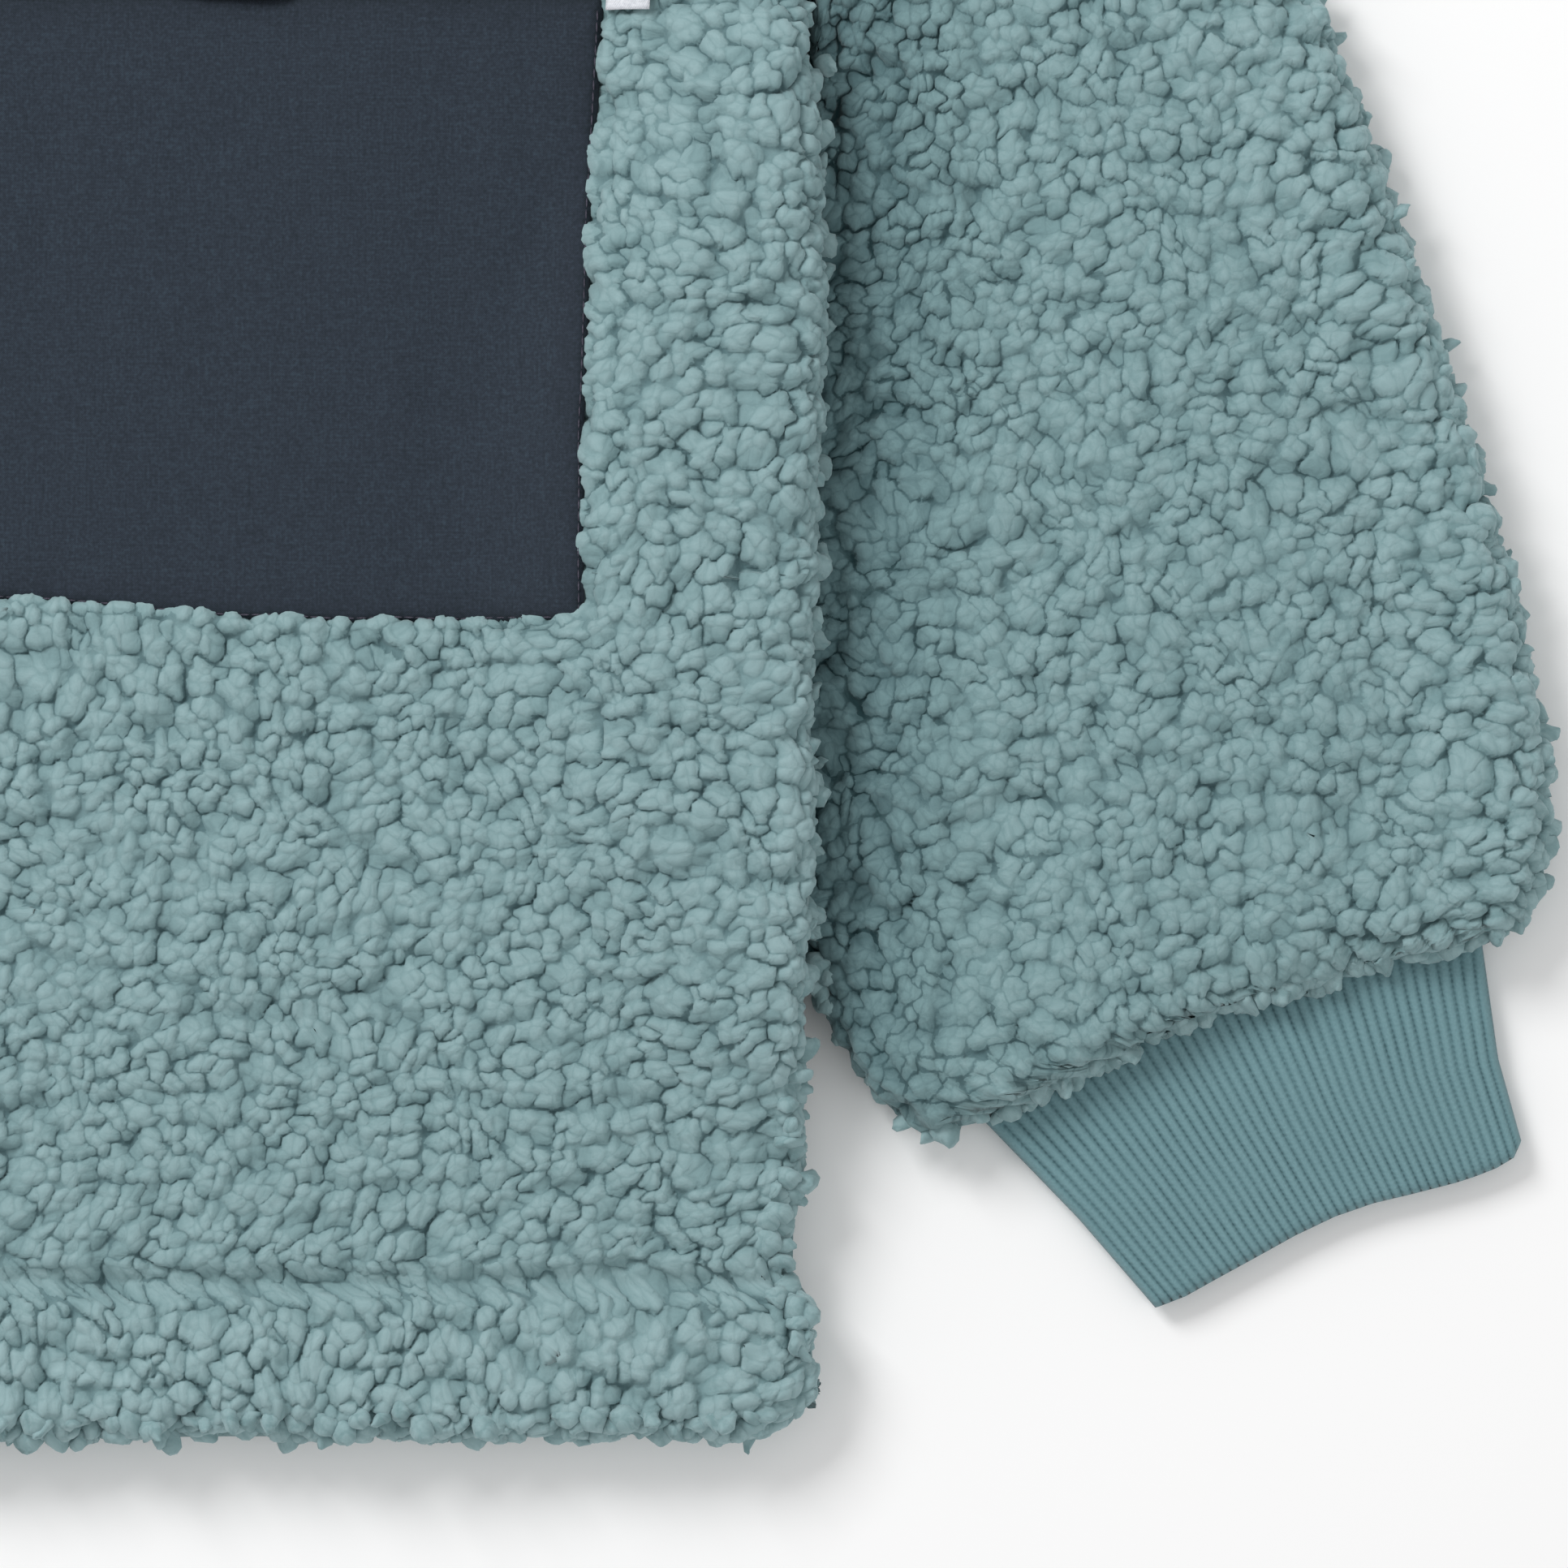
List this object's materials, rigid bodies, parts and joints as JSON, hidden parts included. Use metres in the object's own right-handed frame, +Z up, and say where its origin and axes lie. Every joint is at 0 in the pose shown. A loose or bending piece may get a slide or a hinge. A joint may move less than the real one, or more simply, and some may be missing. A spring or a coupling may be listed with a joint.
{
  "type": "sherpa jacket",
  "caption": "Child's zip-up sherpa jacket laid flat, with stand collar, ribbed cuffs, turned-up hem and a dark woven chest pocket.",
  "frame": {"origin": "middle of the box, on the surface that the jacket lies on", "axes": "+X towards the wearer's left, +Y from hem to collar, +Z up out of the front"},
  "size_m": [0.7216, 0.5497, 0.0286],
  "materials": {
    "sherpa": "teal-grey curled pile, soft and matte",
    "rib_knit": "fine one-by-one rib knit, matte",
    "pocket_cloth": "dark navy plain weave, matte",
    "zip_tape": "dark woven tape",
    "zip_teeth": "dark moulded plastic",
    "zip_metal": "dark bronze enamel",
    "label_tape": "white woven tape, bare"
  },
  "bodies": {
    "jacket": {"back": "sherpa", "front_left": "sherpa", "front_right": "sherpa", "sleeve_left": "sherpa", "sleeve_right": "sherpa", "cuff_left": "rib_knit", "cuff_right": "rib_knit", "collar": "sherpa", "pocket": "pocket_cloth", "pocket_yoke": "pocket_cloth", "label": "label_tape", "pocket_zip_tape": "zip_tape", "pocket_zip_teeth": "zip_teeth", "pocket_zip_slider": "zip_metal", "zip_tape_left": "zip_tape", "zip_tape_right": "zip_tape", "zip_teeth": "zip_teeth", "zip_slider": "zip_metal"},
    "pocket_pull": {"pocket_zip_pull": "zip_metal"},
    "front_pull": {"zip_pull": "zip_metal"}
  },
  "joints": [
    {"name": "pocket_pull_hinge", "type": "hinge", "parent": "jacket", "child": "pocket_pull", "pos_m": [0.093, 0.0138, 0.0179], "axis": [-0.0872, -0.9962, 0], "range_deg": [0, 180]},
    {"name": "front_pull_hinge", "type": "hinge", "parent": "jacket", "child": "front_pull", "pos_m": [0, 0.2124, 0.0133], "axis": [-1, 0, 0], "range_deg": [0, 180]}
  ]
}
